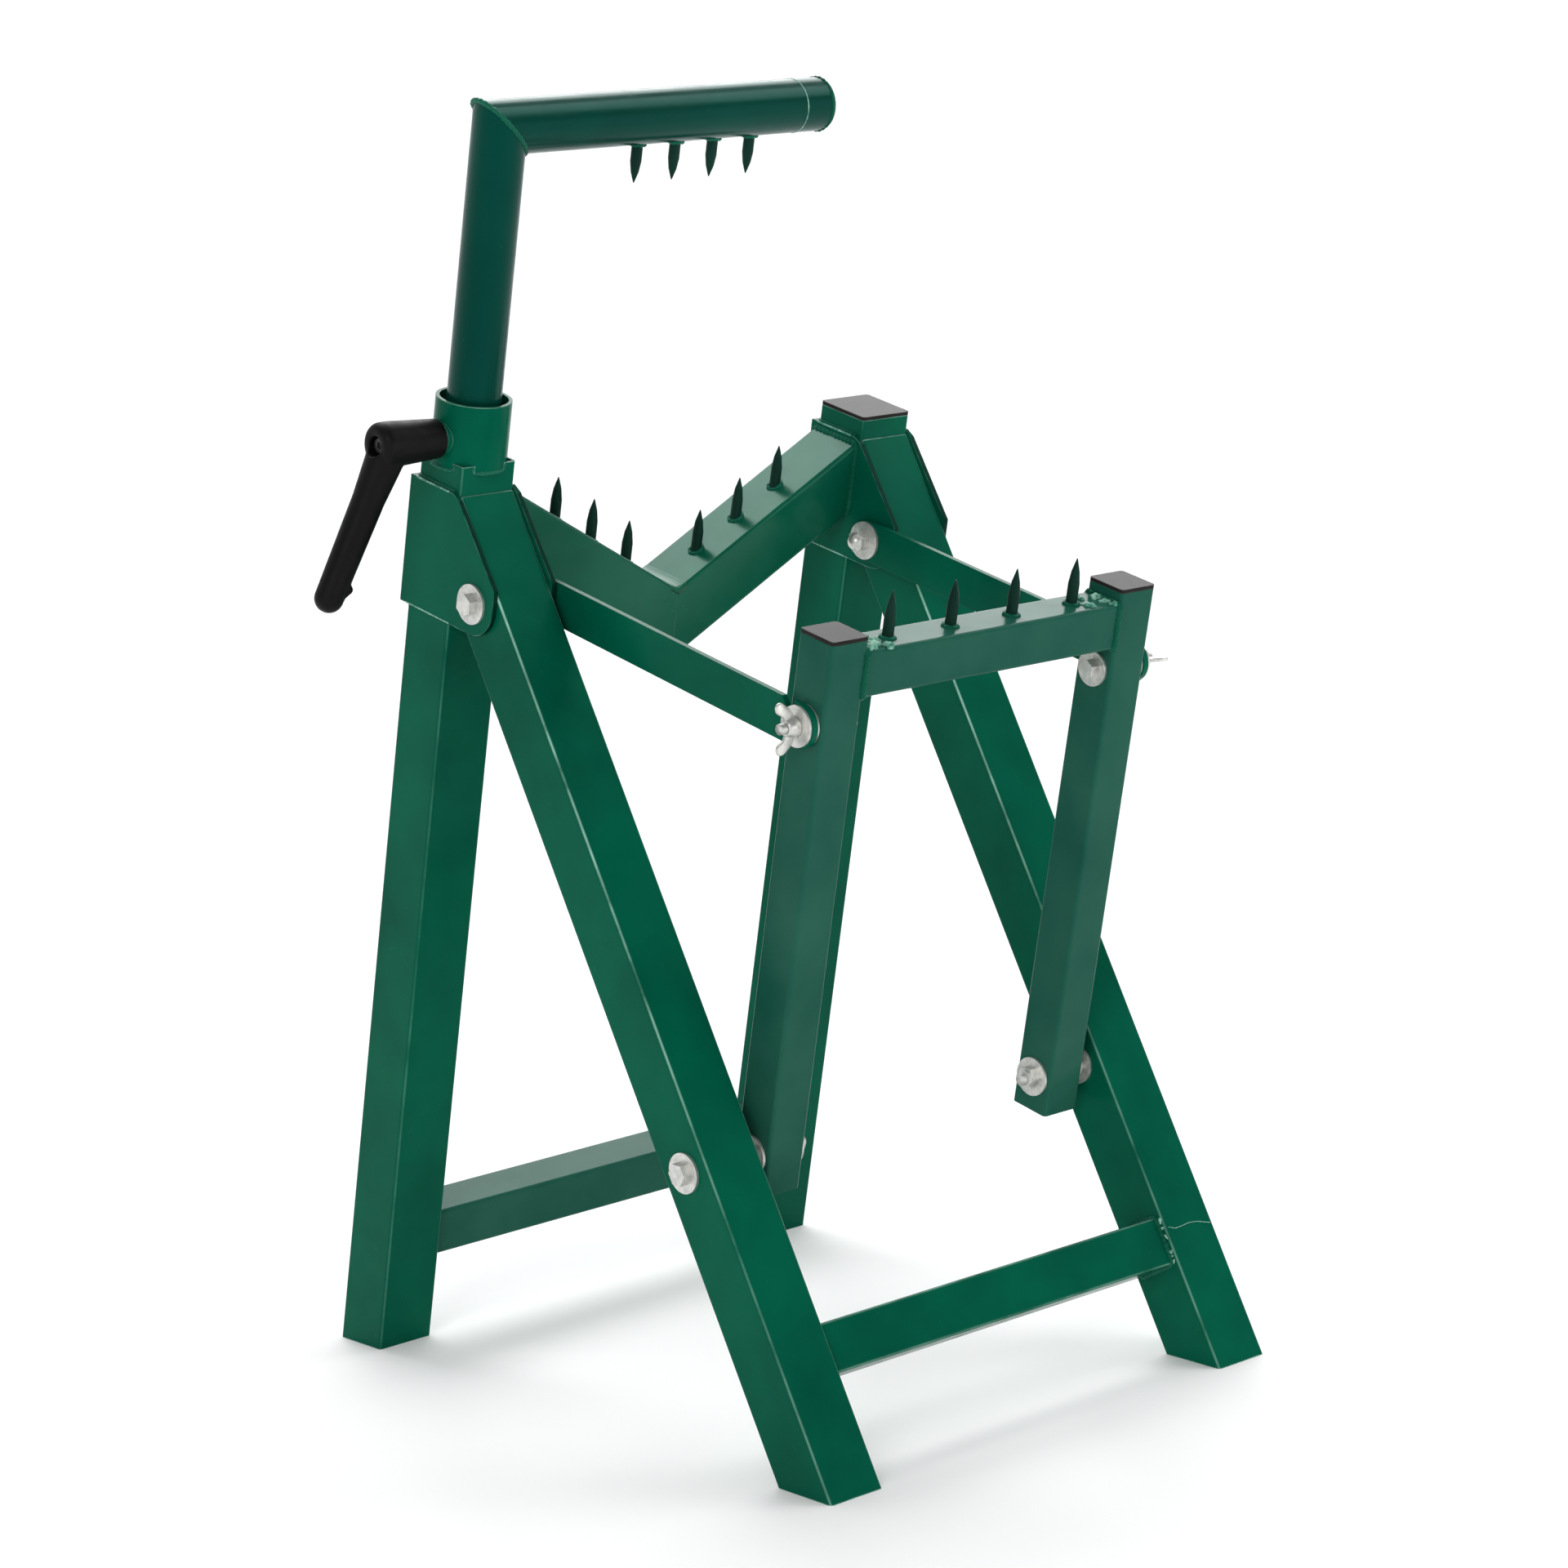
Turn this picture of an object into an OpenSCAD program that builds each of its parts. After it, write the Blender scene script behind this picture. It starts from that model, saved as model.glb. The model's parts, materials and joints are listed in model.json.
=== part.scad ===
/* [Frame] */
// Centre distance between the left and right legs
leg_gap = 424; // [380:2:480]
// Outer width of the square leg tube
leg_w = 53; // [46:1:60]
// Wall of the square leg tube
leg_wall = 2; // [1.5:0.5:3]
// Outer corner radius of the square tubes
tube_r = 3; // [2.5:0.5:5]
// Length of the rear posts along their axis
post_len = 767; // [720:1:820]
// Extra length of the left post under the collar
left_extra = 7; // [0:1:12]
// Forward lean of the rear posts in degrees
post_lean = 13; // [9:1:16]
// Rearward lean of the front legs in degrees
leg_lean = 28; // [25:1:32]
// Width of the two low crossbars
bar_w = 40; // [30:1:44]
// Height of the rear crossbar's centre along the post
rear_bar_up = 98; // [80:2:130]
// Height of the front crossbar's centre above the foot, along the leg
front_bar_up = 98; // [80:2:130]
// Thickness of the tube caps' cover plates
cap_t = 3; // [2:0.5:5]

/* [Leg pivot] */
// Depth of the leg pivot below the rear posts' tops
pivot_drop = 93; // [84:1:104]
// Distance of the leg pivot in front of the post's axis
pivot_fwd = 58.5; // [58.5:0.5:68]
// Thickness of the folded hinge bracket
bracket_t = 4; // [3:0.5:5]
// Height of the hinge bracket along the post
bracket_h = 104; // [96:2:112]
// Radius of the hinge bracket's nose round the pivot
nose_r = 25; // [22:1:28]
// Diameter of the pivot bolts
bolt_d = 10; // [8:1:12]
// Diameter of the large washers
washer_d = 32; // [28:1:38]
// Thickness of the large washers
washer_t = 2.5; // [2:0.5:3]

/* [Log cradle] */
// Slope of the two cradle arms in degrees
cradle_slope = 30; // [24:1:36]
// Depth of the cradle arms' top face at the posts below the posts' tops
cradle_drop = 17; // [15:1:38]
// Height of the cradle spikes
spike_h = 34; // [26:1:40]
// Diameter of all spikes
spike_d = 9; // [7:0.5:12]
// Spacing of the cradle spikes across the stand
cradle_pitch = 40; // [34:1:44]

/* [Middle frame] */
// Outer width of the middle frame's square tube
mid_w = 37; // [30:1:42]
// Height of the lower pivot above the foot, along the leg
lower_up = 258; // [240:1:280]
// Distance of the strut bolt above the lower pivot
strut_up = 352; // [340:1:360]
// Distance of the middle posts' tops above the lower pivot
mid_up = 419; // [410:1:430]
// Length of the middle posts below the lower pivot
mid_tail = 29; // [22:1:34]
// Depth of the middle bar's top below the posts' tops
mid_bar_drop = 9; // [4:1:16]
// Spacing of the middle bar's spikes
mid_pitch = 65; // [55:1:72]
// Height of the middle bar's spikes
mid_spike_h = 37; // [30:1:42]

/* [Struts] */
// Height of the flat strut bars
strut_h = 34; // [28:1:35]
// Thickness of the flat strut bars
strut_t = 5; // [4:0.5:6]
// Diameter of the wing nut bolts
wing_bolt_d = 8; // [6:0.5:10]
// Reach of a wing nut's wing from its axis
wing_r = 20; // [16:0.5:22]

/* [Clamp arm] */
// Play of the arm tube in the post
arm_play = 6; // [2:0.5:10]
// Wall of the arm tube
arm_wall = 2.5; // [2:0.5:3]
// Height of the arm's axis above the right post's top at rest
arm_rise = 267; // [180:1:440]
// Reach of the arm's end from the post's axis
arm_reach = 328; // [260:2:380]
// Length of the upright arm tube below the arm's axis
arm_drop = 649; // [600:5:700]
// Spacing of the arm's spikes
arm_pitch = 39; // [30:1:44]
// Distance of the first arm spike from the post's axis
arm_spike_start = 140; // [120:2:160]
// Height of the arm's spikes
arm_spike_h = 31; // [24:1:36]

/* [Clamp head] */
// Gap between the arm tube and the clamp collar
collar_gap = 5.5; // [2:0.5:7]
// Wall of the clamp collar
collar_wall = 3; // [2:0.5:4]
// Height of the collar's top above the right post's top
collar_rise = 54; // [44:1:70]
// Depth that the collar is let into the post
collar_sink = 6; // [4:1:14]
// Height of the clamp screw above the right post's top
screw_rise = 24; // [22:1:34]
// Diameter of the clamp screw
screw_d = 12; // [10:1:14]
// Diameter of the threaded boss on the collar
boss_d = 26; // [20:1:28]
// Distance of the lever's elbow from the post's axis
elbow_out = 78; // [68:1:90]
// Length of the lever's hub past the elbow
hub_tail = 15; // [14:1:30]
// Diameter of the lever's hub at the elbow
hub_d = 36; // [32:1:38]
// Diameter of the lever's hub at its inner end
hub_root_d = 31; // [28:1:34]
// Length of the lever's handle from the elbow's centre
handle_len = 139; // [110:1:160]
// Outward tilt of the lever's handle in degrees
handle_tilt = 21.5; // [10:0.5:30]
// Diameter of the handle at its tip
tip_d = 23; // [20:1:28]

/* [Hidden] */
$fn = 72;
big = 2000;
fit = 0.1;
flat_gap = 0.1;
bear_gap = 0.4;
side_gap = 0.3;
left_top = post_len + left_extra;
pivot_up = post_len - pivot_drop;
cradle_top = post_len - cradle_drop;
collar_top = post_len + collar_rise;
screw_up = post_len + screw_rise;
arm_up = post_len + arm_rise;
half_gap = leg_gap / 2;
leg_r = leg_w / 2;
mid_r = mid_w / 2;
open_angle = post_lean + leg_lean;
pivot_y = -pivot_up * sin(post_lean) - pivot_fwd * cos(post_lean);
pivot_z = pivot_up * cos(post_lean) - pivot_fwd * sin(post_lean);
foot_y = pivot_y - pivot_z * tan(leg_lean);
leg_len = pivot_z / cos(leg_lean);
lower_down = leg_len - lower_up;
front_bar_down = leg_len - front_bar_up;
rear_edge = leg_r / cos(post_lean);
front_edge = foot_y - leg_r / cos(leg_lean);
// Across the stand, from the leg's centre inwards
plate_x = leg_r + side_gap + bracket_t;
strut_x = half_gap - plate_x - washer_t - flat_gap;
mid_face = strut_x - strut_t - flat_gap - washer_t;
mid_half = mid_face - mid_r;
lower_room = half_gap - leg_r - mid_face;
head_h = bolt_d * 0.65;
head_d = bolt_d * 1.6 / cos(30);
nut_h = bolt_d * 0.9;
strut_fwd = lower_down * sin(open_angle);
strut_rise = strut_up - lower_down * cos(open_angle);
strut_len = sqrt(strut_fwd * strut_fwd + strut_rise * strut_rise);
strut_tilt = atan2(strut_rise, strut_fwd);
notch_angle = 40;
notch_play = 2;
notch_w = wing_bolt_d + notch_play;
wing_turn_left = -11;
wing_turn_right = 76;
arm_d = leg_w - 2 * leg_wall - arm_play;
arm_r = arm_d / 2;
disc_t = arm_wall * 1.2;
plug_h = 20;
plug_spigot = 25;
plug_gap = 0.3;
spigot_h = cap_t * 4.5;
spigot_wall = cap_t * 0.8;
collar_r = arm_r + collar_gap + collar_wall;
boss_out = collar_r + 2.5;
flange_t = 1.5;
hub_in = boss_out + flange_t;
hub_end = elbow_out + hub_tail;
hub_round = 7;
insert_d = hub_root_d * 0.62;
insert_len = 22;
insert_end = hub_in + insert_len;
shoulder_t = 4;
shoulder = insert_end + 1;
well_start = shoulder + shoulder_t;
well_d = hub_d * 0.44;
stud_d = screw_d / 2;
stud_grip = 11;
stud_head = 5;
stud_seat = hub_end - 4 - stud_head;
tip_gap = 0.3;
tooth_h = 1.4;
bump_d = tip_d * 0.36;
grip_d = tip_d * 1.11;
neck_share = 0.36;
stop_turn = 42;
left_reach = half_gap + elbow_out + (handle_len - tip_d / 2) * sin(handle_tilt) + tip_d / 2;
right_reach = half_gap + plate_x + washer_t + head_h;
x0 = (left_reach - right_reach) / 2;
y0 = -(rear_edge + front_edge) / 2;
green = [0.03, 0.30, 0.22];
dark_green = [0.04, 0.20, 0.16];
zinc = [0.72, 0.72, 0.70];
black = [0.08, 0.08, 0.09];
dark_steel = [0.15, 0.15, 0.15];

// Frame of a rear post: z runs up the post, -y points to the front
module at_post(side) {
  translate([x0 + side * half_gap, y0, 0]) rotate([post_lean, 0, 0]) children();
}

// Leg pivot in the post's directions
module at_pivot(side) {
  at_post(side) translate([0, -pivot_fwd, pivot_up]) children();
}

// Frame of a front leg with its origin at the pivot
module at_leg(side) {
  at_pivot(side) rotate([-open_angle, 0, 0]) children();
}

// Lower pivot in the middle posts' directions
module at_mid(x) {
  at_leg(0) translate([x, 0, -lower_down]) rotate([open_angle, 0, 0]) children();
}

// Strut frame at the leg pivot: -y runs along the strut
module at_strut(x) {
  at_pivot(0) translate([x, 0, 0]) rotate([-strut_tilt, 0, 0]) children();
}

// Clamp screw frame: z runs out along the screw from the post's axis
module at_screw() {
  at_post(-1) translate([0, 0, screw_up]) rotate([0, -90, 0]) children();
}

// Cylinder along x from x = a to x = b
module rod_x(d, a, b) {
  translate([min(a, b), 0, 0]) rotate([0, 90, 0]) cylinder(d = d, h = abs(b - a));
}

// Hexagon prism along x from x = a to x = b, with d across its corners
module hex_x(d, a, b) {
  translate([min(a, b), 0, 0]) rotate([0, 90, 0]) cylinder(d = d, h = abs(b - a), $fn = 6);
}

// Washer along x from x = a to x = b
module ring_x(d, bore, a, b) {
  difference() {
    rod_x(d, a, b);
    rod_x(bore, min(a, b) - 1, max(a, b) + 1);
  }
}

// Square with rounded corners
module round_square(w, r) {
  union() {
    square([w - 2 * r, w], center = true);
    square([w, w - 2 * r], center = true);
    for (sx = [-1, 1], sy = [-1, 1])
      translate([sx * (w / 2 - r), sy * (w / 2 - r)]) circle(r = r);
  }
}

// Square tube along z from z = a to z = b
module tube(w, wall, a, b) {
  translate([0, 0, a]) linear_extrude(b - a) difference() {
    round_square(w, tube_r);
    round_square(w - 2 * wall, tube_r - wall);
  }
}

// Everything below the floor
module under_floor() {
  translate([-big / 2, -big / 2, -big]) cube([big, big, big]);
}

// Everything behind the face that the front legs' tops bear on
module behind_post_face() {
  at_post(0) translate([-big / 2, -leg_r - bear_gap, -big / 2]) cube([big, big, big]);
}

// Pointed spike along z with its foot at z = -foot
module spike(h, foot) {
  rotate_extrude() polygon([[0, -foot], [spike_d / 2, -foot], [spike_d / 2, h * 0.45],
    [spike_d * 0.36, h * 0.72], [0.4, h], [0, h]]);
}

module rear_post(side) {
  difference() {
    at_post(side) tube(leg_w, leg_wall, -leg_r, side < 0 ? left_top : post_len);
    under_floor();
    if (side < 0)
      at_post(side) translate([0, 0, left_top - collar_sink]) cylinder(r = collar_r, h = big);
  }
}

module rear_post_left() {
  color(green) rear_post(-1);
}

module rear_post_right() {
  color(green) rear_post(1);
}

// Push-in cap: a cover plate and a spigot inside the tube
module tube_cap(w) {
  bore = w - 2 * leg_wall - 2 * fit;
  union() {
    linear_extrude(cap_t) round_square(w, tube_r);
    translate([0, 0, -spigot_h]) linear_extrude(spigot_h) difference() {
      round_square(bore, tube_r - leg_wall);
      square(bore - 2 * spigot_wall, center = true);
    }
  }
}

module rear_post_cap() {
  color(black) at_post(1) translate([0, 0, post_len]) tube_cap(leg_w);
}

module cross_tube(w, half) {
  rotate([0, 90, 0]) tube(w, leg_wall, -half, half);
}

module rear_crossbar() {
  color(green) at_post(0) translate([0, 0, rear_bar_up]) cross_tube(bar_w, half_gap - leg_r);
}

// Square tube of a cradle arm before its ends are cut, or its filled outline
module cradle_tube(side, filled) {
  drop = leg_r / cos(cradle_slope);
  low = cradle_top - (half_gap - leg_r) * tan(cradle_slope) - drop;
  at_post(0) translate([0, 0, low]) rotate([0, 90 - side * cradle_slope, 0])
    if (filled)
      linear_extrude(big, center = true) round_square(leg_w, tube_r);
    else
      tube(leg_w, leg_wall, -half_gap - leg_w, half_gap + leg_w);
}

module cradle_arm(side) {
  span = half_gap - plate_x;
  intersection() {
    cradle_tube(side, false);
    at_post(0) translate([side > 0 ? 0 : -span, -big / 2, 0]) cube([span, big, big]);
  }
}

module cradle_arm_left() {
  color(green) cradle_arm(-1);
}

module cradle_arm_right() {
  color(green) cradle_arm(1);
}

module cradle_spikes() {
  color(dark_green) for (side = [-1, 1], i = [0:2]) {
    x = (i + 0.95) * cradle_pitch;
    z = cradle_top - (half_gap - leg_r - x) * tan(cradle_slope);
    difference() {
      at_post(0) translate([side * x, 0, z]) spike(spike_h, spike_d);
      cradle_tube(side, true);
    }
  }
}

// Side outline of the hinge bracket: x is the distance in front of the post's axis
module bracket_side() {
  low = pivot_up - nose_r;
  back = leg_r + bracket_t;
  difference() {
    union() {
      polygon([[-back, low], [pivot_fwd, pivot_up - nose_r], [pivot_fwd + nose_r, pivot_up],
        [pivot_fwd + nose_r, pivot_up + nose_r * 0.7], [leg_r + bracket_t, low + bracket_h - bracket_t],
        [leg_r - bracket_t, low + bracket_h], [-back, low + bracket_h]]);
      translate([pivot_fwd, pivot_up]) circle(r = nose_r);
    }
    translate([pivot_fwd, pivot_up]) circle(d = bolt_d + 2 * fit);
  }
}

module bracket_plate() {
  rotate([90, 0, -90]) linear_extrude(bracket_t) bracket_side();
}

module hinge_bracket(side) {
  low = pivot_up - nose_r;
  at_post(side) union() {
    translate([-plate_x + bracket_t, 0, 0]) bracket_plate();
    translate([plate_x, 0, 0]) bracket_plate();
    translate([-plate_x, leg_r, low]) cube([2 * plate_x, bracket_t, bracket_h]);
  }
}

module hinge_bracket_left() {
  color(green) hinge_bracket(-1);
}

module hinge_bracket_right() {
  color(green) hinge_bracket(1);
}

module clamp_collar() {
  base = left_top - collar_sink;
  color(green) difference() {
    at_post(-1) translate([0, 0, base]) difference() {
      cylinder(r = collar_r, h = collar_top - base);
      translate([0, 0, -1]) cylinder(r = collar_r - collar_wall, h = collar_top - base + 2);
    }
    at_screw() cylinder(d = screw_d + 2 * fit, h = boss_out);
  }
}

module clamp_boss() {
  color(green) difference() {
    at_screw() cylinder(d = boss_d, h = boss_out);
    at_screw() translate([0, 0, -1]) cylinder(d = screw_d + 2 * fit, h = boss_out + 2);
    at_post(-1) cylinder(r = collar_r, h = big);
  }
}

// Bolts have their heads outside and run inwards to the nuts
module pivot_bolts() {
  out = plate_x + washer_t;
  inn = plate_x + washer_t + strut_t + 2 * flat_gap + washer_t + nut_h + 2;
  color(zinc) for (side = [-1, 1]) at_pivot(side) union() {
    hex_x(head_d, side * out, side * (out + head_h));
    rod_x(bolt_d, -side * inn, side * (out + 0.01));
  }
}

module pivot_washers() {
  bore = bolt_d + 2 * fit;
  near = plate_x + washer_t + strut_t + 2 * flat_gap;
  color(zinc) for (side = [-1, 1]) at_pivot(side) {
    ring_x(washer_d, bore, side * plate_x, side * (plate_x + washer_t));
    ring_x(washer_d, bore, -side * plate_x, -side * (plate_x + washer_t));
    ring_x(washer_d, bore, -side * near, -side * (near + washer_t));
  }
}

// Dome nut along x, opening at a and closing past b
module dome_nut(d, bore, a, b) {
  s = b > a ? 1 : -1;
  difference() {
    union() {
      hex_x(d, a, b);
      intersection() {
        translate([b - s * 2, 0, 0]) sphere(d = d * 0.84);
        hex_x(d * 2, b - s * 2, b + s * d);
      }
    }
    rod_x(bore, a - s, b + s * 3);
  }
}

module pivot_nuts() {
  start = plate_x + washer_t + strut_t + 2 * flat_gap + washer_t;
  color(zinc) for (side = [-1, 1])
    at_pivot(side) dome_nut(head_d, bolt_d + fit, -side * start, -side * (start + nut_h));
}

module front_leg(side) {
  long = pivot_z / cos(leg_lean) + leg_w;
  difference() {
    at_leg(side) tube(leg_w, leg_wall, -long, 3 * leg_w);
    under_floor();
    behind_post_face();
    at_pivot(side) rod_x(bolt_d + 2 * fit, -leg_w, leg_w);
    at_leg(side) translate([0, 0, -lower_down]) rod_x(bolt_d + 2 * fit, -leg_w, leg_w);
  }
}

module front_leg_left() {
  color(green) front_leg(-1);
}

module front_leg_right() {
  color(green) front_leg(1);
}

module front_crossbar() {
  color(green) at_leg(0) translate([0, 0, -front_bar_down]) cross_tube(bar_w, half_gap - leg_r);
}

module lower_bolts() {
  inn = half_gap - mid_face + mid_w + flat_gap + washer_t + nut_h + 3;
  out = leg_r + washer_t;
  color(zinc) for (side = [-1, 1]) at_leg(side) translate([0, 0, -lower_down]) union() {
    hex_x(head_d, side * out, side * (out + head_h));
    rod_x(bolt_d, -side * inn, side * (out + 0.01));
  }
}

module lower_washers() {
  bore = bolt_d + 2 * fit;
  face = leg_r + lower_room;
  past = face + mid_w + flat_gap;
  color(zinc) for (side = [-1, 1]) at_leg(side) translate([0, 0, -lower_down]) {
    ring_x(washer_d, bore, side * leg_r, side * (leg_r + washer_t));
    ring_x(washer_d, bore, -side * leg_r, -side * (leg_r + washer_t));
    ring_x(washer_d, bore, -side * (face - flat_gap - washer_t), -side * (face - flat_gap));
    ring_x(washer_d, bore, -side * past, -side * (past + washer_t));
  }
}

module lower_spacers() {
  far = leg_r + lower_room - flat_gap - washer_t;
  color(zinc) for (side = [-1, 1]) at_leg(side) translate([0, 0, -lower_down])
    ring_x(bolt_d + 8, bolt_d + 2 * fit, -side * (leg_r + washer_t), -side * far);
}

module lower_nuts() {
  start = leg_r + lower_room + mid_w + flat_gap + washer_t;
  color(zinc) for (side = [-1, 1]) at_leg(side) translate([0, 0, -lower_down])
    difference() {
      union() {
        hex_x(head_d, -side * start, -side * (start + nut_h - 3));
        rod_x(head_d * 0.84, -side * start, -side * (start + nut_h));
      }
      rod_x(bolt_d + fit, -side * (start - 1), -side * (start + nut_h + 1));
    }
}

module middle_post(side) {
  difference() {
    at_mid(side * mid_half) tube(mid_w, leg_wall, -mid_tail, mid_up);
    at_mid(side * mid_half) rod_x(bolt_d + 2 * fit, -mid_w, mid_w);
    at_mid(side * mid_half) translate([0, 0, strut_up])
      rod_x(wing_bolt_d + 2 * fit, -mid_w, mid_w);
  }
}

module middle_post_left() {
  color(green) middle_post(-1);
}

module middle_post_right() {
  color(green) middle_post(1);
}

module middle_bar() {
  color(green) at_mid(0) translate([0, 0, mid_up - mid_bar_drop - mid_r])
    cross_tube(mid_w, mid_half - mid_r);
}

module middle_caps() {
  color(black) for (side = [-1, 1])
    at_mid(side * mid_half) translate([0, 0, mid_up]) tube_cap(mid_w);
}

module middle_spikes() {
  color(dark_green) for (i = [-1.5:1:1.5])
    at_mid(i * mid_pitch) translate([0, 0, mid_up - mid_bar_drop]) spike(mid_spike_h, 0);
}

module strut_bolts() {
  inner = mid_face - mid_w - washer_t;
  color(zinc) for (side = [-1, 1]) at_mid(0) translate([0, 0, strut_up]) union() {
    hex_x(head_d * 0.85, side * (inner - head_h), side * inner);
    rod_x(wing_bolt_d, side * (inner - 0.01), side * (strut_x + washer_t + 2 * wing_bolt_d));
  }
}

module strut_washers() {
  bore = wing_bolt_d + 2 * fit;
  inner = mid_face - mid_w;
  color(zinc) for (side = [-1, 1]) at_mid(0) translate([0, 0, strut_up]) {
    ring_x(washer_d * 0.9, bore, side * (inner - washer_t), side * inner);
    ring_x(washer_d, bore, side * mid_face, side * (mid_face + washer_t));
    ring_x(washer_d, bore, side * (strut_x + flat_gap), side * (strut_x + flat_gap + washer_t));
  }
}

// Flat bar with an eye at the leg pivot and an open notch at the wing nut bolt
module strut(side) {
  edge = strut_h / 2;
  reach = strut_h;
  difference() {
    at_strut(side * (strut_x - strut_t / 2)) difference() {
      union() {
        translate([-strut_t / 2, -strut_len, -edge]) cube([strut_t, strut_len, strut_h]);
        rod_x(strut_h, -strut_t / 2, strut_t / 2);
        translate([0, -strut_len, 0]) rod_x(strut_h, -strut_t / 2, strut_t / 2);
      }
      rod_x(bolt_d + 2 * fit, -strut_t, strut_t);
      translate([0, -strut_len, 0]) rod_x(notch_w, -strut_t, strut_t);
      translate([0, -strut_len, 0]) rotate([-notch_angle, 0, 0])
        translate([-strut_t, -notch_w / 2, 0]) cube([2 * strut_t, notch_w, reach]);
    }
  }
}

module strut_left() {
  color(green) strut(-1);
}

module strut_right() {
  color(green) strut(1);
}

module wing_nut(side, angle) {
  seat = strut_x + 2 * flat_gap + washer_t;
  d = wing_bolt_d;
  color(zinc) at_mid(0) translate([side * seat, 0, strut_up]) difference() {
    union() {
      rod_x(d * 1.9, 0, side * d);
      rod_x(d * 1.5, 0, side * d * 1.3);
      for (turn = [0, 180]) rotate([turn + angle, 0, 0]) rotate([90, 0, 0])
        linear_extrude(d * 0.36, center = true)
          polygon([[side * d * 0.1, d * 0.6], [side * d * 0.5, wing_r * 0.62],
            [side * d * 1.1, wing_r * 0.84], [side * d * 1.7, wing_r], [side * d * 2.2, wing_r * 0.95],
            [side * d * 2.4, wing_r * 0.8], [side * d * 2.3, wing_r * 0.6],
            [side * d * 1.5, wing_r * 0.42], [side * d * 1.2, d * 0.6]]);
    }
    rod_x(d + fit, -side * d, side * d * 3);
  }
}

module wing_nut_left() {
  wing_nut(-1, wing_turn_left);
}

module wing_nut_right() {
  wing_nut(1, wing_turn_right);
}

// Square glide under the upright tube, held by a spigot that turns in the tube
module arm_guide_plug() {
  side = leg_w - 2 * leg_wall - 2 * plug_gap;
  color(black) at_post(-1) translate([0, 0, arm_up - arm_drop]) union() {
    translate([0, 0, -plug_h]) linear_extrude(plug_h - flat_gap) round_square(side, tube_r);
    translate([0, 0, -1]) cylinder(d = arm_d - 2 * arm_wall - 2 * fit, h = plug_spigot + 1);
  }
}

module arm_tube() {
  color(green) at_post(-1) translate([0, 0, arm_up]) intersection() {
    translate([0, 0, -arm_drop]) difference() {
      cylinder(d = arm_d, h = arm_drop + arm_d);
      translate([0, 0, -1]) cylinder(d = arm_d - 2 * arm_wall, h = arm_drop + arm_d + 2);
    }
    rotate([0, 45, 0]) translate([-big / 2, -big / 2, -big]) cube([big, big, big]);
  }
}

module arm_bar() {
  color(green) at_post(-1) translate([0, 0, arm_up]) difference() {
    intersection() {
      rod_x(arm_d, -arm_d, arm_reach - disc_t);
      rotate([0, 45, 0]) translate([-big / 2, -big / 2, 0]) cube([big, big, big]);
    }
    rod_x(arm_d - 2 * arm_wall, -2 * arm_d, arm_reach);
  }
}

module arm_end_disc() {
  color(green) at_post(-1) translate([0, 0, arm_up]) rod_x(arm_d - 1, arm_reach - disc_t, arm_reach);
}

module arm_spikes() {
  color(dark_green) at_post(-1) translate([0, 0, arm_up]) difference() {
    for (i = [0:3]) translate([arm_spike_start + i * arm_pitch, 0, -arm_r])
      rotate([180, 0, 0]) spike(arm_spike_h, spike_d);
    rod_x(arm_d, 0, arm_reach);
  }
}

module clamp_screw() {
  tip = arm_r + tip_gap;
  color(zinc) at_screw() difference() {
    translate([0, 0, tip]) cylinder(d = screw_d, h = insert_end - tip);
    translate([0, 0, insert_end - stud_grip - 1]) cylinder(d = stud_d, h = 2 * stud_grip);
  }
}

// Toothed outline shared by the insert and the lever's socket
module tooth_ring(d) {
  count = 16;
  polygon([for (i = [0:2 * count - 1])
    let (r = (i % 2 == 0) ? d / 2 : d / 2 - tooth_h, a = i * 180 / count) [r * cos(a), r * sin(a)]]);
}

module lever_insert() {
  color(zinc) at_screw() difference() {
    union() {
      translate([0, 0, boss_out + flat_gap]) cylinder(d = insert_d * 1.25, h = flange_t - 4 * flat_gap);
      translate([0, 0, hub_in - 5 * flat_gap]) linear_extrude(insert_len + 5 * flat_gap)
        tooth_ring(insert_d);
    }
    cylinder(d = screw_d, h = big);
  }
}

module lever_screw() {
  color(dark_steel) at_screw() difference() {
    union() {
      translate([0, 0, insert_end - stud_grip])
        cylinder(d = stud_d, h = stud_seat - insert_end + stud_grip);
      translate([0, 0, stud_seat]) cylinder(d = stud_d * 2, h = stud_head);
    }
    translate([0, 0, stud_seat + stud_head / 2]) cylinder(d = stud_d, h = stud_head, $fn = 6);
  }
}

// Handle with its length along -z: flared neck, rounded tip and a finger stop
module handle_shape() {
  tip_r = tip_d / 2;
  straight = handle_len - tip_r;
  neck = straight * neck_share;
  stop_out = tip_r - bump_d * 0.08;
  stop_len = norm([stop_out, tip_r]);
  union() {
    rotate([180, 0, 0]) rotate_extrude()
      polygon([[0, 0], [hub_d / 2 - 2, 0], [grip_d / 2, neck], [tip_r, straight], [0, straight]]);
    translate([0, 0, -straight]) sphere(d = tip_d);
    rotate([0, 0, -stop_turn]) translate([0, 0, -straight]) {
      translate([-stop_out, 0, tip_r]) sphere(d = bump_d);
      rotate([0, -atan2(stop_out, tip_r), 0]) cylinder(d1 = tip_d * 0.8, d2 = bump_d, h = stop_len);
    }
  }
}

// Half outline of the hub past the elbow, with a rounded outer edge
module hub_end_shape() {
  r = hub_d / 2;
  union() {
    square([r, hub_tail - hub_round]);
    square([r - hub_round, hub_tail]);
    translate([r - hub_round, hub_tail - hub_round]) circle(r = hub_round);
  }
}

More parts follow.
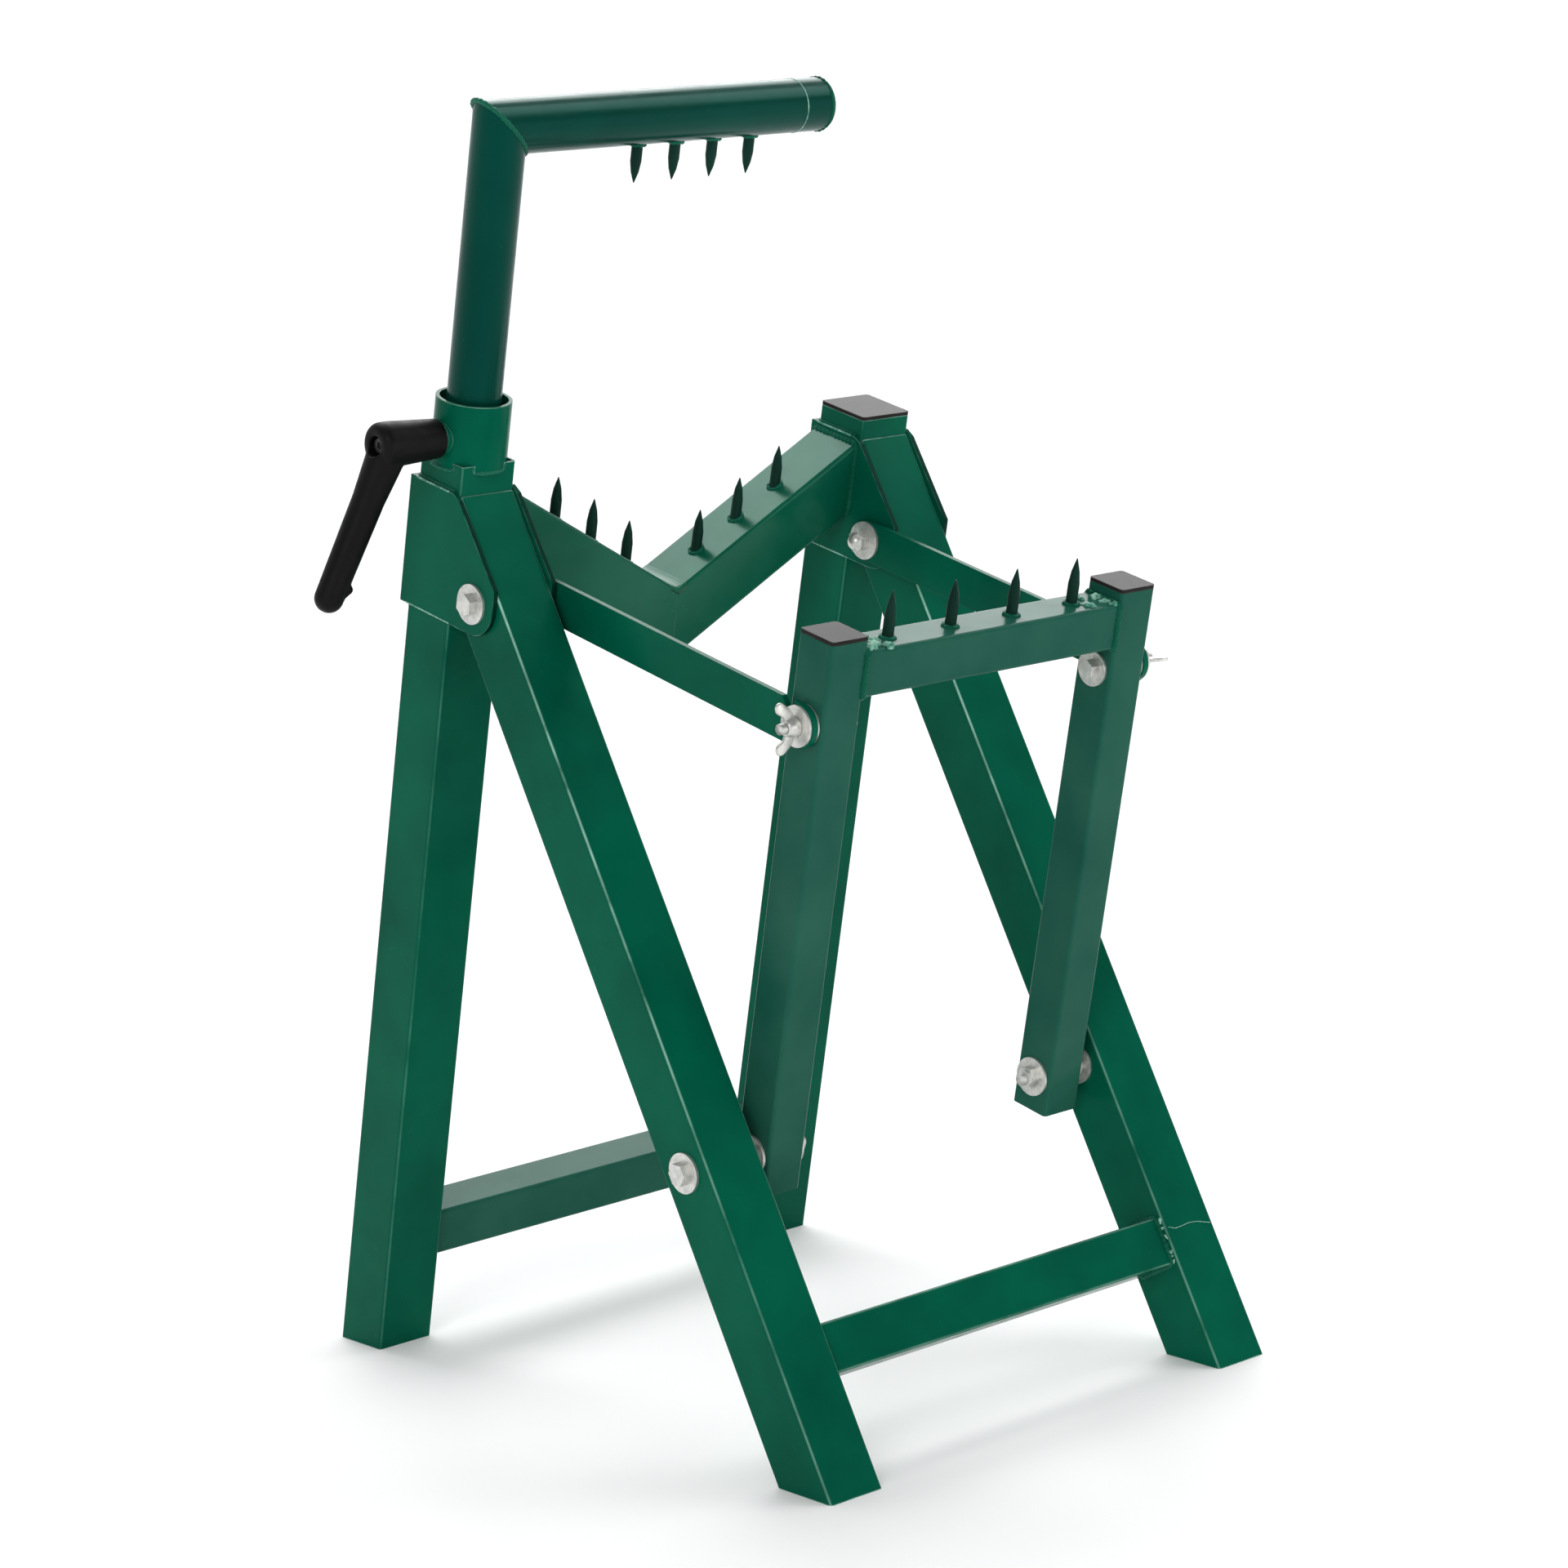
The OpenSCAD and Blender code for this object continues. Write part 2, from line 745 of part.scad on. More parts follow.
module clamp_lever() {
  color(black) at_screw() difference() {
    union() {
      translate([0, 0, hub_in]) cylinder(d1 = hub_root_d, d2 = hub_d, h = elbow_out - hub_in);
      translate([0, 0, elbow_out]) rotate_extrude() hub_end_shape();
      translate([0, 0, elbow_out]) rotate([0, handle_tilt - 90, 0]) rotate([180, 0, 0])
        handle_shape();
    }
    translate([0, 0, hub_in - 1]) linear_extrude(shoulder - hub_in + 1)
      tooth_ring(insert_d + 2 * tip_gap);
    cylinder(d = stud_d + 1, h = big);
    translate([0, 0, well_start]) cylinder(d = well_d, h = big);
  }
}

rear_post_left();
rear_post_right();
rear_post_cap();
rear_crossbar();
cradle_arm_left();
cradle_arm_right();
cradle_spikes();
hinge_bracket_left();
hinge_bracket_right();
clamp_collar();
clamp_boss();
pivot_bolts();
pivot_washers();
pivot_nuts();
front_leg_left();
front_leg_right();
front_crossbar();
lower_bolts();
lower_washers();
lower_spacers();
lower_nuts();
middle_post_left();
middle_post_right();
middle_bar();
middle_caps();
middle_spikes();
strut_bolts();
strut_washers();
strut_left();
strut_right();
wing_nut_left();
wing_nut_right();
arm_guide_plug();
arm_tube();
arm_bar();
arm_end_disc();
arm_spikes();
clamp_screw();
lever_insert();
lever_screw();
clamp_lever();
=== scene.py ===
import json
import math
import random
import zlib

import bmesh
import bpy
from mathutils import Matrix, Vector


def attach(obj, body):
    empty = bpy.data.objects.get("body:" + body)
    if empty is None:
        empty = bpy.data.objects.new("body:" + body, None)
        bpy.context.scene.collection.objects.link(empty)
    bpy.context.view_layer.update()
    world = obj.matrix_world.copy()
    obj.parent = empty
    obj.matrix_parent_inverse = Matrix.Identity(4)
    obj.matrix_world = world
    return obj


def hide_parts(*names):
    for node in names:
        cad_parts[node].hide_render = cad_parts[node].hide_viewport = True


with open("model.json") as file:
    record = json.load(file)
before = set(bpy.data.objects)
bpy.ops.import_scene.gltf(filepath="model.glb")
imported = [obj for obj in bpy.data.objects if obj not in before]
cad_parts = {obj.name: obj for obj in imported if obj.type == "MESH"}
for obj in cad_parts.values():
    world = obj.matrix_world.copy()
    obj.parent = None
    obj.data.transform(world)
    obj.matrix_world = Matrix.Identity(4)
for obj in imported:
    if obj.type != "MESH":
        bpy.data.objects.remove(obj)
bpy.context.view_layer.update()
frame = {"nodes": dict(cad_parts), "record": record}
nodes = frame["nodes"]

# Sizes repeated from the part's source, in millimetres
MM = 0.001
POST_LEAN, LEG_LEAN = math.radians(13), math.radians(28)
HALF, LEG_R, MID_R, BAR_R = 212.0, 26.5, 18.5, 20.0
LEFT_TOP, PIVOT_UP, PIVOT_FWD = 774.0, 674.0, 58.5
PLATE_X, WASHER_T, BRACKET_LOW, BRACKET_H = LEG_R + 4.3, 2.5, 649.0, 104.0
STRUT_UP, STRUT_X = 352.0, HALF - PLATE_X - WASHER_T - 0.1
MID_FACE = STRUT_X - 5.0 - 0.1 - WASHER_T
MID_HALF = MID_FACE - MID_R
CRADLE_TOP, CRADLE_TAN, CRADLE_PITCH = 750.0, math.tan(math.radians(30)), 40.0
MID_BAR_TOP, MID_PITCH, SPIKE_R = 410.0, 65.0, 4.5
ARM_UP, ARM_R, ARM_REACH, ARM_PITCH, ARM_START = 1034.0, 21.5, 328.0, 39.0, 140.0
COLLAR_R, COLLAR_SINK, COLLAR_TOP = 30.0, 6.0, 821.0
REACH = 78 + (139 - 11.5) * math.sin(math.radians(21.5)) + 11.5
X0 = (REACH - PLATE_X - WASHER_T - 6.5) / 2
PIVOT_Z = PIVOT_UP * math.cos(POST_LEAN) - PIVOT_FWD * math.sin(POST_LEAN)
PIVOT_Y = -PIVOT_UP * math.sin(POST_LEAN) - PIVOT_FWD * math.cos(POST_LEAN)
FOOT_Y = PIVOT_Y - PIVOT_Z * math.tan(LEG_LEAN)
Y0 = -(LEG_R / math.cos(POST_LEAN) + FOOT_Y - LEG_R / math.cos(LEG_LEAN)) / 2
LEG_LEN = PIVOT_Z / math.cos(LEG_LEAN)
LOWER_DOWN, FRONT_BAR_DOWN = LEG_LEN - 258.0, LEG_LEN - 98.0


def post_pt(x, fwd, up):
    """Point in the rear posts' frame: x from the middle, fwd to the front, up along the post."""
    s, c = math.sin(POST_LEAN), math.cos(POST_LEAN)
    return Vector((X0 + x, Y0 - fwd * c - up * s, up * c - fwd * s)) * MM


PIVOT = post_pt(0, PIVOT_FWD, PIVOT_UP) / MM


def leg_pt(x, fwd, up):
    """Point in the front legs' frame, from the leg pivot."""
    s, c = math.sin(LEG_LEAN), math.cos(LEG_LEAN)
    return Vector((X0 + x, PIVOT.y - fwd * c + up * s, PIVOT.z + fwd * s + up * c)) * MM


LOWER = leg_pt(0, 0, -LOWER_DOWN) / MM


def mid_pt(x, fwd, up):
    """Point in the middle posts' frame, from the lower pivot."""
    s, c = math.sin(POST_LEAN), math.cos(POST_LEAN)
    return Vector((X0 + x, LOWER.y - fwd * c - up * s, LOWER.z - fwd * s + up * c)) * MM


# Materials
class Graph:
    """A small helper that adds and joins nodes in one material."""

    def __init__(self, name):
        self.mat = bpy.data.materials.new(name)
        self.mat.use_nodes = True
        self.tree = self.mat.node_tree
        self.bsdf = self.tree.nodes["Principled BSDF"]
        self.coords = self.add("ShaderNodeTexCoord").outputs["Object"]

    def add(self, kind, **values):
        n = self.tree.nodes.new(kind)
        for key, value in values.items():
            setattr(n, key, value)
        return n

    def link(self, a, b):
        self.tree.links.new(a, b)

    def noise(self, scale, detail=4.0, rough=0.55, stretch=None):
        n = self.add("ShaderNodeTexNoise")
        n.inputs["Scale"].default_value = scale
        n.inputs["Detail"].default_value = detail
        n.inputs["Roughness"].default_value = rough
        source = self.coords
        if stretch:
            m = self.add("ShaderNodeMapping")
            m.inputs["Scale"].default_value = stretch
            self.link(self.coords, m.inputs["Vector"])
            source = m.outputs["Vector"]
        self.link(source, n.inputs["Vector"])
        return n.outputs["Fac"]

    def span(self, value, a, b, lo, hi):
        n = self.add("ShaderNodeMapRange")
        n.inputs["From Min"].default_value = a
        n.inputs["From Max"].default_value = b
        n.inputs["To Min"].default_value = lo
        n.inputs["To Max"].default_value = hi
        self.link(value, n.inputs["Value"])
        return n.outputs["Result"]

    def mix(self, fac, a, b):
        n = self.add("ShaderNodeMix", data_type="RGBA")
        self.link(fac, n.inputs["Factor"])
        for socket, value in ((n.inputs[6], a), (n.inputs[7], b)):
            if isinstance(value, tuple):
                socket.default_value = (*value, 1.0)
            else:
                self.link(value, socket)
        return n.outputs[2]

    def times(self, a, b):
        n = self.add("ShaderNodeMath", operation="MULTIPLY")
        self.link(a, n.inputs[0])
        self.link(b, n.inputs[1])
        return n.outputs["Value"]

    def edges(self, radius, low=0.80, high=0.985):
        """1 on sharp edges and 0 on flat faces."""
        bevel = self.add("ShaderNodeBevel", samples=6)
        bevel.inputs["Radius"].default_value = radius
        geo = self.add("ShaderNodeNewGeometry")
        dot = self.add("ShaderNodeVectorMath", operation="DOT_PRODUCT")
        self.link(bevel.outputs["Normal"], dot.inputs[0])
        self.link(geo.outputs["Normal"], dot.inputs[1])
        return self.span(dot.outputs["Value"], low, high, 1.0, 0.0)

    def facing(self, axis):
        """How far the surface faces along an axis, from -1 to 1."""
        dot = self.add("ShaderNodeVectorMath", operation="DOT_PRODUCT")
        dot.inputs[1].default_value = axis
        self.link(self.tree.nodes["Texture Coordinate"].outputs["Normal"], dot.inputs[0])
        return dot.outputs["Value"]

    def along(self, axis):
        """How far the surface faces along an axis, either way, from 0 to 1."""
        size = self.add("ShaderNodeMath", operation="ABSOLUTE")
        self.link(self.facing(axis), size.inputs[0])
        return size.outputs["Value"]

    def corners(self, lean):
        """1 on the rounded corners of a square tube that leans forwards by an angle in radians."""
        fwd = (0, -math.cos(lean), -math.sin(lean))
        up = (0, -math.sin(lean), math.cos(lean))
        best = self.along(fwd)
        for axis in ((1, 0, 0), up):
            join = self.add("ShaderNodeMath", operation="MAXIMUM")
            self.link(best, join.inputs[0])
            self.link(self.along(axis), join.inputs[1])
            best = join.outputs["Value"]
        return self.span(best, 0.78, 0.95, 1.0, 0.0)

    def bump(self, height, strength, distance, rounding=0.0):
        n = self.add("ShaderNodeBump")
        n.inputs["Strength"].default_value = strength
        n.inputs["Distance"].default_value = distance
        self.link(height, n.inputs["Height"])
        if rounding:
            bevel = self.add("ShaderNodeBevel", samples=6)
            bevel.inputs["Radius"].default_value = rounding
            self.link(bevel.outputs["Normal"], n.inputs["Normal"])
        self.link(n.outputs["Normal"], self.bsdf.inputs["Normal"])

    def out(self, color, rough):
        self.link(color, self.bsdf.inputs["Base Color"])
        self.link(rough, self.bsdf.inputs["Roughness"])
        return self.mat


TINT, PALE_TINT = (0.30, 1.0, 0.82), (0.50, 1.0, 0.82)


def paint(name, base, deep, edge_highlight, edge_highlight_floor, rimmed=True, shine=0.055, tint=TINT, patch=9.0, front=None,
          lean=None, line=0.0, fade=1.0):
    """Powder coat: slow colour drift, orange peel and a painted highlight on thin edges.

    front is a painted shade colour for the faces that look forwards; lean, line and fade set the painted highlight
    lines on a leaning tube's corners.
    """
    g = Graph(name)
    drift = g.span(g.noise(patch, 3.0), 0.35, 0.65, 0.0, 1.0)
    color = g.mix(drift, deep, base)
    if rimmed:
        # Painted highlight: sharp edges take the pale edge colour, in patches
        rim = g.times(g.edges(0.0014), g.span(g.noise(60.0, 5.0), 0.38, 0.62, edge_highlight_floor, 1.0))
        color = g.mix(rim, color, edge_highlight)
    if front:
        # Painted shade: faces that look forwards take the dark front colour
        ahead = g.facing((0, -math.cos(POST_LEAN), -math.sin(POST_LEAN)))
        color = g.mix(g.span(ahead, 0.3, 0.6, 0.0, 0.9), color, front)
    if line:
        # Painted highlight lines along the tube's corners, weaker lower down when fade is below 1
        wear_and_highlight = g.times(g.corners(lean), g.span(g.noise(18.0, 5.0), 0.36, 0.60, 0.12 * line, line))
        if fade < 1:
            place = g.add("ShaderNodeSeparateXYZ")
            g.link(g.coords, place.inputs["Vector"])
            wear_and_highlight = g.times(wear_and_highlight, g.span(place.outputs["Z"], 0.22, 0.42, fade, 1.0))
        color = g.mix(wear_and_highlight, color, edge_highlight)
    rough = g.span(g.noise(42.0, 6.0), 0.3, 0.7, 0.17, 0.28)
    g.bump(g.noise(420.0, 2.0), 0.05, 0.0006, 0.0012)
    g.bsdf.inputs["Specular IOR Level"].default_value = shine
    g.bsdf.inputs["Specular Tint"].default_value = (*tint, 1.0)
    return g.out(color, rough)


def zinc(name):
    """Bright zinc plate: faint mottling and fine scratches."""
    g = Graph(name)
    mottle = g.span(g.noise(160.0, 4.0), 0.35, 0.65, 0.0, 1.0)
    color = g.mix(mottle, (0.52, 0.53, 0.51), (0.72, 0.71, 0.67))
    dirt = g.span(g.noise(75.0, 6.0, 0.7), 0.52, 0.72, 0.0, 0.6)
    color = g.mix(dirt, color, (0.30, 0.29, 0.26))
    rough = g.span(g.noise(90.0, 5.0, 0.6, (1.0, 6.0, 1.0)), 0.3, 0.7, 0.26, 0.46)
    g.bump(g.noise(900.0, 3.0, 0.6, (1.0, 4.0, 1.0)), 0.10, 0.0003, 0.0005)
    g.bsdf.inputs["Metallic"].default_value = 0.72
    return g.out(color, rough)


def plastic(name, base, worn, rough_lo, rough_hi, grain, shine=0.5, height=0.14):
    """Moulded plastic: fine grain, slightly rubbed edges."""
    g = Graph(name)
    drift = g.span(g.noise(24.0, 4.0), 0.35, 0.65, 0.0, 1.0)
    color = g.mix(drift, base, tuple(v * 1.45 for v in base))
    wear_and_highlight = g.times(g.edges(0.0016), g.span(g.noise(70.0, 4.0), 0.4, 0.65, 0.0, 0.8))
    color = g.mix(wear_and_highlight, color, worn)
    rough = g.span(g.noise(130.0, 4.0), 0.3, 0.7, rough_lo, rough_hi)
    g.bump(g.noise(grain, 2.0), height, 0.0005, 0.0012)
    g.bsdf.inputs["Specular IOR Level"].default_value = shine
    return g.out(color, rough)


# Coats: colour, deeper colour, colour of the painted edge highlight and how much of that highlight always shows
COAT = ((0.0006, 0.108, 0.059), (0.0003, 0.076, 0.043), (0.38, 0.68, 0.55), 0.35)
MIDDLE_COAT = ((0.020, 0.108, 0.074), (0.008, 0.080, 0.054), (0.38, 0.68, 0.55), 0.35)
CRADLE_COAT = ((0.0040, 0.106, 0.058), (0.0010, 0.079, 0.044), (0.38, 0.68, 0.55), 0.35)
# The arm's coat is a darker copy of the green coat, as painted shade
ARM_SHADED_COAT = ((0.0003, 0.044, 0.030), (0.0002, 0.034, 0.023), (0.30, 0.58, 0.47), 0.20)
BRACKET_COAT = ((0.0006, 0.108, 0.059), (0.0003, 0.082, 0.046), (0.20, 0.44, 0.34), 0.0)
GREEN = paint("green_paint", *COAT)
SMOOTH_COAT = paint("green_paint_smooth", *CRADLE_COAT, rimmed=False, shine=0.26, tint=PALE_TINT)
WELD = paint("weld_paint", (0.016, 0.140, 0.086), (0.002, 0.070, 0.040), (0.36, 0.62, 0.50), 0.35)
# Pale mint paint: painted highlight on weld beads and seams, and the colour of a real scratch
CHIP_AND_GLINT = paint("weld_chip_and_glint_paint", (0.30, 0.56, 0.45), (0.05, 0.22, 0.15), (0.50, 0.74, 0.63), 0.40, patch=150.0)
SPIKE = paint("spike_paint", (0.010, 0.038, 0.027), (0.006, 0.022, 0.016), (0.18, 0.30, 0.24), 0.10)
ZINC = zinc("zinc")
CAP = plastic("cap_plastic", (0.016, 0.015, 0.014), (0.10, 0.095, 0.095), 0.235, 0.265, 700.0, 0.030, 0.012)
LEVER = plastic("lever_plastic", (0.0028, 0.0027, 0.0026), (0.030, 0.030, 0.030), 0.40, 0.56, 800.0, 0.11)
DARK_STEEL = plastic("dark_steel", (0.012, 0.012, 0.012), (0.08, 0.08, 0.08), 0.30, 0.45, 900.0)

BY_SLOT = {"green_paint": GREEN, "dark_paint": SPIKE, "zinc": ZINC,
           "dark_steel": DARK_STEEL, "black_plastic": CAP, "lever_plastic": LEVER}
for part in frame["record"]["subparts"]:
    obj = nodes[part["node"]]
    obj.data.materials.clear()
    obj.data.materials.append(BY_SLOT[part["material_slot"]])

# Posts and legs have painted highlight lines along their corners, which are strongest high on the front legs
ARM_TINT, PLATE_EDGE_SHADE = (0.15, 1.0, 0.86), (0.0003, 0.018, 0.011)
for coat, names in (
        (paint("green_paint_upright", *COAT, lean=POST_LEAN, line=0.12), ("rear_post_left", "rear_post_right")),
        (paint("green_paint_leg", *COAT, lean=-LEG_LEAN, line=0.95, fade=0.35),
         ("front_leg_left", "front_leg_right", "front_crossbar")),
        (paint("green_paint_strut", *COAT, rimmed=False), ("strut_left", "strut_right")),
        (paint("green_paint_cradle", *CRADLE_COAT, rimmed=False, shine=0.26, tint=PALE_TINT),
         ("cradle_arm_left", "cradle_arm_right")),
        (paint("green_paint_middle", *MIDDLE_COAT, rimmed=False, shine=0.07, tint=PALE_TINT),
         ("middle_post_left", "middle_post_right", "middle_bar", "rear_crossbar")),
        # The brackets' forward faces are painted dark, as painted shade in the gap beside the leg
        (paint("green_paint_bracket", *BRACKET_COAT, front=PLATE_EDGE_SHADE), ("hinge_bracket_left", "hinge_bracket_right")),
        (paint("green_paint_arm", *ARM_SHADED_COAT, shine=0.20, tint=ARM_TINT), ("arm_tube", "arm_bar", "arm_end_disc"))):
    for name in names:
        nodes[name].data.materials[0] = coat


# Mesh helpers
def make(name, verts, faces, mat, body):
    """A new smooth piece that rides on a body."""
    mesh = bpy.data.meshes.new(name)
    mesh.from_pydata([tuple(v) for v in verts], [], faces)
    mesh.update()
    bm = bmesh.new()
    bm.from_mesh(mesh)
    bmesh.ops.recalc_face_normals(bm, faces=bm.faces)
    bm.to_mesh(mesh)
    bm.free()
    obj = bpy.data.objects.new(name, mesh)
    bpy.context.collection.objects.link(obj)
    mesh.materials.append(mat)
    for poly in mesh.polygons:
        poly.use_smooth = True
    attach(obj, body)
    return obj


def resample(points, step, closed):
    """Points at even steps along a path."""
    path = [Vector(p) for p in points]
    if closed:
        path.append(path[0].copy())
    out, carry = [], 0.0
    for a, b in zip(path, path[1:]):
        length = (b - a).length
        t = carry
        while t < length:
            out.append(a.lerp(b, t / length))
            t += step
        carry = t - length
    if not closed:
        out.append(path[-1].copy())
    return out


def bead_parts(points, radius, closed, seed, step=0.0011, pitch=0.0046):
    """Verts and faces of a rippled weld bead along a path, in metres."""
    rng = random.Random(seed)
    path = resample(points, step, closed)
    count, ring = len(path), 8
    verts, faces = [], []
    wander = [rng.uniform(-1, 1) for _ in range(count // 6 + 3)]
    for i, p in enumerate(path):
        nxt = path[(i + 1) % count] if closed or i + 1 < count else p
        prv = path[i - 1] if closed or i > 0 else p
        d = (nxt - prv).normalized()
        side = d.orthogonal().normalized()
        k, f = divmod(i, 6)
        drift = wander[k] * (1 - f / 6) + wander[k + 1] * f / 6
        r = radius * (1 + 0.16 * math.cos(2 * math.pi * i * step / pitch) + 0.14 * drift)
        if not closed:
            r *= min(1.0, 0.35 + 0.65 * min(i, count - 1 - i) * step / (1.5 * radius))
        for j in range(ring):
            verts.append(p + Matrix.Rotation(2 * math.pi * j / ring, 3, d) @ side * r)
    # Rings are lined up with their neighbours, so the bead doesn't twist
    for i in range(1, count):
        first = verts[(i - 1) * ring]
        ringv = verts[i * ring:(i + 1) * ring]
        k = min(range(ring), key=lambda j: (ringv[j] - first).length)
        verts[i * ring:(i + 1) * ring] = ringv[k:] + ringv[:k]
    last = count if closed else count - 1
    shift = 0
    if closed:
        first = verts[(count - 1) * ring]
        shift = min(range(ring), key=lambda j: (verts[j] - first).length)
    for i in range(last):
        n = (i + 1) % count
        s = shift if closed and n == 0 else 0
        for j in range(ring):
            a, b = j, (j + 1) % ring
            faces.append((i * ring + a, i * ring + b, n * ring + (b + s) % ring, n * ring + (a + s) % ring))
    if not closed:
        faces.append(tuple(range(ring)))
        faces.append(tuple(range((count - 1) * ring, count * ring)))
    return verts, faces


def beads(name, paths, radius, body, mat=None):
    """One piece made of several weld beads; paths are (points, closed)."""
    verts, faces = [], []
    for k, (points, closed) in enumerate(paths):
        v, f = bead_parts(points, radius, closed, zlib.crc32(f"{name}{k}".encode()))
        base = len(verts)
        verts += v
        faces += [tuple(i + base for i in face) for face in f]
    return make(name, verts, faces, mat or WELD, body)


def loop(at, x, f0, f1, a0, a1, r=4.0):
    """Rounded rectangle in the plane x, from f0 to f1 and a0 to a1."""
    pts = []
    for cf, ca, start in ((f1 - r, a1 - r, 0), (f0 + r, a1 - r, 90), (f0 + r, a0 + r, 180), (f1 - r, a0 + r, 270)):
        for k in range(5):
            t = math.radians(start + 22.5 * k)
            pts.append(at(x, cf + r * math.cos(t), ca + r * math.sin(t)))
    return pts


XDIR = Vector((1, 0, 0))

# Welds of the rear frame
span = HALF - PLATE_X
high = CRADLE_TOP - (HALF - LEG_R - span) * CRADLE_TAN
tall = 2 * LEG_R / math.cos(math.radians(30))
paths = [(loop(post_pt, s * span, -LEG_R, LEG_R, high - tall, high), True) for s in (-1, 1)]
paths += [(loop(post_pt, s * (HALF - LEG_R), -BAR_R, BAR_R, 98 - BAR_R, 98 + BAR_R), True) for s in (-1, 1)]
low = CRADLE_TOP - (HALF - LEG_R) * CRADLE_TAN
beads("rear_frame_welds", paths, 0.0026, "rear_frame")

# The cradle's inner corner: a smooth fillet weld across the two arms
FILLET, CORNER = 15.0, 3.0
rows, verts, faces = 25, [], []
fwds = [CORNER - LEG_R - CORNER * math.cos(math.radians(15 * k)) for k in range(7)]
fwds += [-LEG_R / 2, 0.0, LEG_R / 2] + [-f for f in reversed(fwds)]
for f in fwds:
    over = max(0.0, abs(f) - (LEG_R - CORNER))
    sink = CORNER - math.sqrt(max(0.0, CORNER ** 2 - over ** 2))
    for k in range(rows):
        t = math.radians(-33 + 66 * k / (rows - 1))
        arc = low + FILLET * (1 / math.cos(math.radians(30)) - math.cos(t)) + 0.12
        verts.append(post_pt(FILLET * math.sin(t), f, arc - sink))
    for k in range(rows):
        x = FILLET * math.sin(math.radians(33 - 66 * k / (rows - 1)))
        verts.append(post_pt(x, f, low + abs(x) * CRADLE_TAN - 1.2 - sink))
n = 2 * rows
for i in range(len(fwds) - 1):
    for k in range(n):
        m = (k + 1) % n
        faces.append((i * n + k, i * n + m, (i + 1) * n + m, (i + 1) * n + k))
faces.append(tuple(range(n)))
faces.append(tuple(range((len(fwds) - 1) * n, len(fwds) * n)))
make("cradle_corner_weld", verts, faces, SMOOTH_COAT, "rear_frame")

# Hinge brackets: seams on the post along their top and bottom edges
paths = []
for side in (-1, 1):
    for x in (-LEG_R, LEG_R):
        for up, f1 in ((BRACKET_LOW, LEG_R - 4), (BRACKET_LOW + BRACKET_H, LEG_R - 7)):
            paths.append(([post_pt(side * HALF + x, -LEG_R, up), post_pt(side * HALF + x, f1, up)], False))
beads("hinge_bracket_welds", paths, 0.0016, "rear_frame")
paths = []
for side in (-1, 1):
    for x in (-PLATE_X + 0.4, PLATE_X - 0.4):
        for up, f1 in ((BRACKET_LOW + 0.4, LEG_R + 6), (BRACKET_LOW + BRACKET_H - 0.4, LEG_R - 9)):
            paths.append(([post_pt(side * HALF + x, f, up) for f in (2 - LEG_R, f1)], False))
beads("bracket_edge_beads", paths, 0.0008, "rear_frame", CHIP_AND_GLINT)

# Collar: a seam under its lip on each face of the post, and beside the post's four corners
paths = []
reach = math.degrees(math.acos(LEG_R / COLLAR_R))
for quarter in range(4):
    turn = [math.radians(90 * quarter + reach * k / 8) for k in range(-8, 9)]
    paths.append(([post_pt(COLLAR_R * math.sin(t) * 0.985 - HALF, COLLAR_R * math.cos(t) * 0.985,
                           LEFT_TOP - COLLAR_SINK) for t in turn], False))
    for k in (-1, 1):
        t = math.radians(90 * quarter + k * (reach + 3.5))
        paths.append(([post_pt(COLLAR_R * math.sin(t) - HALF, COLLAR_R * math.cos(t), LEFT_TOP - z)
                       for z in (COLLAR_SINK, 1)], False))
beads("collar_welds", paths, 0.0019, "rear_frame")

# Welds of the front legs and the middle frame
beads("front_leg_welds", [(loop(leg_pt, s * (HALF - LEG_R), -BAR_R, BAR_R, -FRONT_BAR_DOWN - BAR_R,
                                -FRONT_BAR_DOWN + BAR_R), True) for s in (-1, 1)], 0.0028, "front_legs")
rng = random.Random(5)
paths = []
for k in range(16):
    f, up, turn = rng.uniform(19.5, 24), rng.uniform(-19, 20), rng.uniform(0, math.pi)
    paths.append(([leg_pt(HALF - LEG_R, f + 1.6 * math.cos(turn) * t, up - FRONT_BAR_DOWN + 2.6 * math.sin(turn) * t)
                   for t in (-1, 0, 1)], False))
beads("front_weld_spatter", paths, 0.0011, "front_legs", CHIP_AND_GLINT)

# A scratch beside it
paths = [([leg_pt(HALF + x, LEG_R, up - FRONT_BAR_DOWN) for x, up in
           ((-23, 9), (-16, 6.2), (-8, 6.6), (1, 7.2), (9, 6.4), (17, 4), (24, 2))], False)]
beads("front_leg_scratch", paths, 0.0003, "front_legs", CHIP_AND_GLINT)
beads("middle_frame_welds", [(loop(mid_pt, s * (MID_HALF - MID_R), -MID_R, MID_R, MID_BAR_TOP - 2 * MID_R,
                                   MID_BAR_TOP), True) for s in (-1, 1)], 0.0030, "middle_frame")
rng = random.Random(11)
paths = []
for k in range(6):
    f = -13 + 5.4 * k
    reach = rng.uniform(12, 25)
    bend = rng.uniform(-4, 4)
    paths.append(([mid_pt(MID_R - MID_HALF + reach * t / 4, f + bend * (t / 4) ** 2, MID_BAR_TOP + 1.3 - 0.25 * t)
                   for t in range(5)], False))
for k in range(12):
    x, f, turn, half = rng.uniform(1, 24), rng.uniform(-10, 17), rng.uniform(0, math.pi), rng.uniform(2.5, 5.0)
    paths.append(([mid_pt(MID_R - MID_HALF + max(0, x + half * math.cos(turn) * t), f + half * math.sin(turn) * t,
                          MID_BAR_TOP + 0.8 - 0.5 * abs(t)) for t in (-1, -0.5, 0, 0.5, 1)], False))
